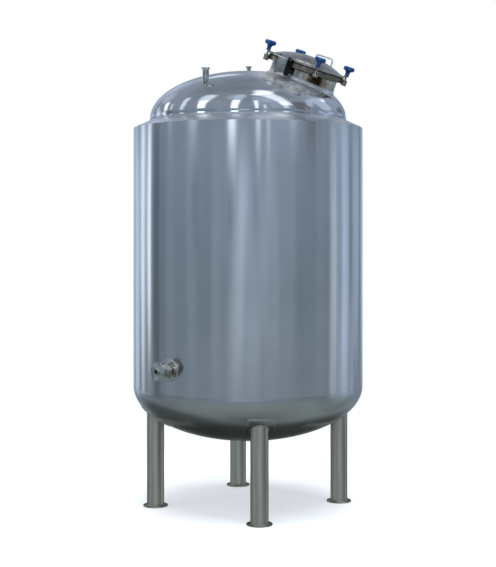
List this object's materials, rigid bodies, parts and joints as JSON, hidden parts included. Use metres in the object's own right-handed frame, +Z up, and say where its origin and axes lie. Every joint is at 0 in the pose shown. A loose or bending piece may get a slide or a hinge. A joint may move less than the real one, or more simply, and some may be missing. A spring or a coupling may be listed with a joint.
{
  "type": "vertical storage tank",
  "caption": "Upright jacketed stainless tank on tubular legs, with a dished bottom, domed top, hinged manway with swing bolts and star knobs, top ferrules and a low side nozzle.",
  "frame": {"origin": "on the tank's vertical axis, at floor level", "axes": "+Z up along the tank's axis; -Y is the front, from which the manway is to the right and the side nozzle to the left"},
  "size_m": [1.4, 1.4, 2.8136],
  "materials": {
    "jacket_steel": "satin, fine grain round the tank",
    "leg_steel": "satin",
    "mirror_steel": "mirror polished",
    "fitting_steel": "polished",
    "knob_plastic": "moulded, slightly glossy",
    "gasket_rubber": "matt"
  },
  "bodies": {
    "tank": {"jacket_wall": "jacket_steel", "jacket_bottom_head": "jacket_steel", "jacket_shoulder": "jacket_steel", "vessel_wall": "mirror_steel", "vessel_bottom_head": "mirror_steel", "top_head": "mirror_steel", "leg_1": "leg_steel", "leg_2": "leg_steel", "leg_3": "leg_steel", "leg_4": "leg_steel", "leg_pad_1": "jacket_steel", "leg_pad_2": "jacket_steel", "leg_pad_3": "jacket_steel", "leg_pad_4": "jacket_steel", "foot_plate_1": "leg_steel", "foot_plate_2": "leg_steel", "foot_plate_3": "leg_steel", "foot_plate_4": "leg_steel", "manway_neck": "fitting_steel", "manway_frame": "fitting_steel", "manway_gasket": "gasket_rubber", "hinge_bracket": "fitting_steel", "hinge_pin": "fitting_steel", "bolt_lug_1": "fitting_steel", "bolt_lug_2": "fitting_steel", "bolt_lug_3": "fitting_steel", "bolt_lug_4": "fitting_steel", "lug_pin_1": "fitting_steel", "lug_pin_2": "fitting_steel", "lug_pin_3": "fitting_steel", "lug_pin_4": "fitting_steel", "top_nozzle_left": "fitting_steel", "top_nozzle_back": "fitting_steel", "outlet_collar": "fitting_steel", "outlet_pipe": "fitting_steel", "outlet_plate": "fitting_steel"},
    "lid": {"manway_lid": "fitting_steel", "lid_handle": "fitting_steel", "lid_hinge_arm": "fitting_steel"},
    "bolt_1": {"swing_bolt_1": "fitting_steel"},
    "bolt_2": {"swing_bolt_2": "fitting_steel"},
    "bolt_3": {"swing_bolt_3": "fitting_steel"},
    "bolt_4": {"swing_bolt_4": "fitting_steel"},
    "star_1": {"knob_1": "knob_plastic"},
    "star_2": {"knob_2": "knob_plastic"},
    "star_3": {"knob_3": "knob_plastic"},
    "star_4": {"knob_4": "knob_plastic"}
  },
  "joints": [
    {"name": "lid_hinge", "type": "hinge", "parent": "tank", "child": "lid", "pos_m": [0.2185, -0.406, 2.67527], "axis": [0.8018, -0.4804, -0.3556], "range_deg": [0, 98]},
    {"name": "bolt_swing_1", "type": "hinge", "parent": "tank", "child": "bolt_1", "pos_m": [0.57973, -0.10654, 2.56074], "axis": [-0.1779, 0.9588, 0.2216], "range_deg": [0, 130]},
    {"name": "bolt_swing_2", "type": "hinge", "parent": "tank", "child": "bolt_2", "pos_m": [0.29711, 0.07744, 2.68854], "axis": [-0.9303, -0.2373, 0.2796], "range_deg": [0, 130]},
    {"name": "bolt_swing_3", "type": "hinge", "parent": "tank", "child": "bolt_3", "pos_m": [0.10525, -0.22755, 2.70333], "axis": [0.1779, -0.9588, -0.2216], "range_deg": [0, 130]},
    {"name": "bolt_swing_4", "type": "hinge", "parent": "tank", "child": "bolt_4", "pos_m": [0.38786, -0.41153, 2.57554], "axis": [0.9303, 0.2373, -0.2796], "range_deg": [0, 130]},
    {"name": "knob_turn_1", "type": "hinge", "parent": "bolt_1", "child": "star_1", "pos_m": [0.57973, -0.10654, 2.56074], "axis": [0.3206, -0.1564, 0.9342], "continuous": true},
    {"name": "knob_turn_2", "type": "hinge", "parent": "bolt_2", "child": "star_2", "pos_m": [0.29711, 0.07744, 2.68854], "axis": [0.3206, -0.1564, 0.9342], "continuous": true},
    {"name": "knob_turn_3", "type": "hinge", "parent": "bolt_3", "child": "star_3", "pos_m": [0.10525, -0.22755, 2.70333], "axis": [0.3206, -0.1564, 0.9342], "continuous": true},
    {"name": "knob_turn_4", "type": "hinge", "parent": "bolt_4", "child": "star_4", "pos_m": [0.38786, -0.41153, 2.57554], "axis": [0.3206, -0.1564, 0.9342], "continuous": true}
  ],
  "couplings": [
    {"joint": "bolt_swing_1", "follows": "lid_hinge", "ratio": 1.3265},
    {"joint": "bolt_swing_2", "follows": "lid_hinge", "ratio": 1.3265},
    {"joint": "bolt_swing_3", "follows": "lid_hinge", "ratio": 1.3265},
    {"joint": "bolt_swing_4", "follows": "lid_hinge", "ratio": 1.3265}
  ]
}
